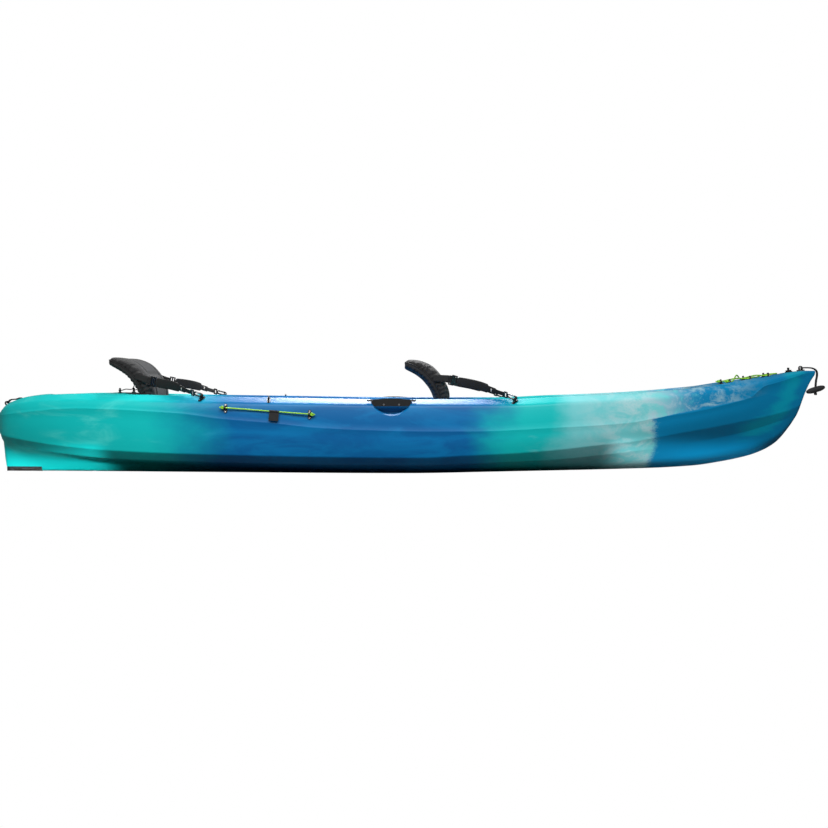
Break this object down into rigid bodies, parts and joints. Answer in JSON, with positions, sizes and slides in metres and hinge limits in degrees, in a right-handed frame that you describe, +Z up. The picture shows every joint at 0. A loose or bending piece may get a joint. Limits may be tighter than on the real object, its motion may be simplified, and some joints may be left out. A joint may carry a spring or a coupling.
{
  "type": "tandem sit-on-top kayak",
  "caption": "Hollow moulded open-deck kayak for a pair of paddlers, with strapped folding seats, swinging carry handles, end toggles, paddle keepers and a laced bow.",
  "frame": {"origin": "on the underside of the keel at mid length", "axes": "+X to the bow, +Y to port, +Z up"},
  "size_m": [3.7149, 0.8774, 0.5132],
  "materials": {
    "hull": "satin moulded",
    "fitting": "matt black",
    "grip": "soft grey",
    "rubber": "matt",
    "steel": "stainless",
    "bungee": "woven sheath",
    "cord": "braided",
    "webbing": "woven",
    "cloth": "coated cloth"
  },
  "bodies": {
    "hull": {"hull": "hull", "skid_plate": "fitting", "skid_plate_screws": "steel", "drain_fitting": "fitting", "drain_plug_seal": "rubber", "starboard_handle_pins": "steel", "port_handle_pins": "steel", "starboard_keeper_bungee": "bungee", "port_keeper_bungee": "bungee", "keeper_pad_eyes": "fitting", "keeper_eye_screws": "steel", "seat_pad_eyes": "fitting", "seat_eye_screws": "steel", "centre_pad_eyes": "fitting", "centre_eye_screws": "steel", "bow_bungee": "bungee", "bow_pad_eyes": "fitting", "bow_eye_screws": "steel", "bow_toggle_eye": "fitting", "stern_toggle_eye": "fitting", "toggle_eye_screws": "steel", "rear_tethers": "cord", "tether_eyes": "fitting", "tether_eye_screws": "steel", "front_seat_pad": "cloth", "front_seat_hinge": "cloth", "front_starboard_strap": "webbing", "front_starboard_hook": "steel", "front_port_strap": "webbing", "front_port_hook": "steel", "rear_seat_pad": "cloth", "rear_seat_hinge": "cloth", "rear_starboard_strap": "webbing", "rear_starboard_hook": "steel", "rear_port_strap": "webbing", "rear_port_hook": "steel"},
    "starboard_handle": {"starboard_handle_grip": "fitting", "starboard_grip_rivets": "steel"},
    "port_handle": {"port_handle_grip": "fitting", "port_grip_rivets": "steel"},
    "drain_plug": {"drain_plug": "fitting"},
    "starboard_tab": {"starboard_keeper_tab": "webbing"},
    "port_tab": {"port_keeper_tab": "webbing"},
    "bow_toggle": {"bow_toggle_grip": "grip", "bow_toggle_cord": "cord"},
    "stern_toggle": {"stern_toggle_grip": "grip", "stern_toggle_cord": "cord"},
    "front_seat_back": {"front_seat_back_cushion": "cloth", "front_seat_back_board": "cloth", "front_seat_tabs": "webbing", "front_seat_buckles": "fitting"},
    "front_starboard_hook_gate": {"front_starboard_gate": "steel"},
    "front_port_hook_gate": {"front_port_gate": "steel"},
    "rear_seat_back": {"rear_seat_back_cushion": "cloth", "rear_seat_back_board": "cloth", "rear_seat_tabs": "webbing", "rear_seat_buckles": "fitting"},
    "rear_starboard_hook_gate": {"rear_starboard_gate": "steel"},
    "rear_port_hook_gate": {"rear_port_gate": "steel"}
  },
  "joints": [
    {"name": "front_seat_fold", "type": "hinge", "parent": "hull", "child": "front_seat_back", "pos_m": [0.148, 0, 0.199], "axis": [0, 1, 0], "range_deg": [0, 65], "deforming": ["front_starboard_strap", "front_port_strap"]},
    {"name": "rear_seat_fold", "type": "hinge", "parent": "hull", "child": "rear_seat_back", "pos_m": [-1.142, 0, 0.209], "axis": [0, 1, 0], "range_deg": [0, 65], "deforming": ["rear_starboard_strap", "rear_port_strap", "rear_tethers"]},
    {"name": "starboard_handle_swing", "type": "hinge", "parent": "hull", "child": "starboard_handle", "pos_m": [-0.066, -0.401, 0.32], "axis": [-1, 0, 0], "range_deg": [0, 75]},
    {"name": "port_handle_swing", "type": "hinge", "parent": "hull", "child": "port_handle", "pos_m": [-0.066, 0.401, 0.32], "axis": [1, 0, 0], "range_deg": [0, 75]},
    {"name": "bow_toggle_swing", "type": "hinge", "parent": "hull", "child": "bow_toggle", "pos_m": [1.76719, 0, 0.46067], "axis": [0, -1, 0], "range_deg": [0, 110]},
    {"name": "stern_toggle_swing", "type": "hinge", "parent": "hull", "child": "stern_toggle", "pos_m": [-1.80282, 0, 0.30319], "axis": [0, -1, 0], "range_deg": [0, 100]},
    {"name": "drain_plug_turn", "type": "hinge", "parent": "hull", "child": "drain_plug", "pos_m": [1.714, 0, 0.44273], "axis": [-0.13, 0, 0.9915], "continuous": true},
    {"name": "starboard_tab_swing", "type": "hinge", "parent": "hull", "child": "starboard_tab", "pos_m": [-0.5578, -0.41809, 0.27436], "axis": [-0.9948, 0.0703, 0.074], "range_deg": [0, 150]},
    {"name": "port_tab_swing", "type": "hinge", "parent": "hull", "child": "port_tab", "pos_m": [-0.5578, 0.41809, 0.27436], "axis": [0.9948, 0.0703, -0.074], "range_deg": [0, 150]},
    {"name": "front_starboard_gate_swing", "type": "hinge", "parent": "hull", "child": "front_starboard_hook_gate", "pos_m": [0.43345, -0.38255, 0.34518], "axis": [0.5711, 0.7117, 0.4091], "range_deg": [0, 20], "stiffness_Nm_per_rad": 0.02},
    {"name": "front_port_gate_swing", "type": "hinge", "parent": "hull", "child": "front_port_hook_gate", "pos_m": [0.43345, 0.38255, 0.34518], "axis": [-0.5711, 0.7117, -0.4091], "range_deg": [0, 20], "stiffness_Nm_per_rad": 0.02},
    {"name": "rear_starboard_gate_swing", "type": "hinge", "parent": "hull", "child": "rear_starboard_hook_gate", "pos_m": [-0.89631, -0.3532, 0.3548], "axis": [0.5275, 0.7159, 0.4574], "range_deg": [0, 20], "stiffness_Nm_per_rad": 0.02},
    {"name": "rear_port_gate_swing", "type": "hinge", "parent": "hull", "child": "rear_port_hook_gate", "pos_m": [-0.89631, 0.3532, 0.3548], "axis": [-0.5275, 0.7159, -0.4574], "range_deg": [0, 20], "stiffness_Nm_per_rad": 0.02}
  ]
}
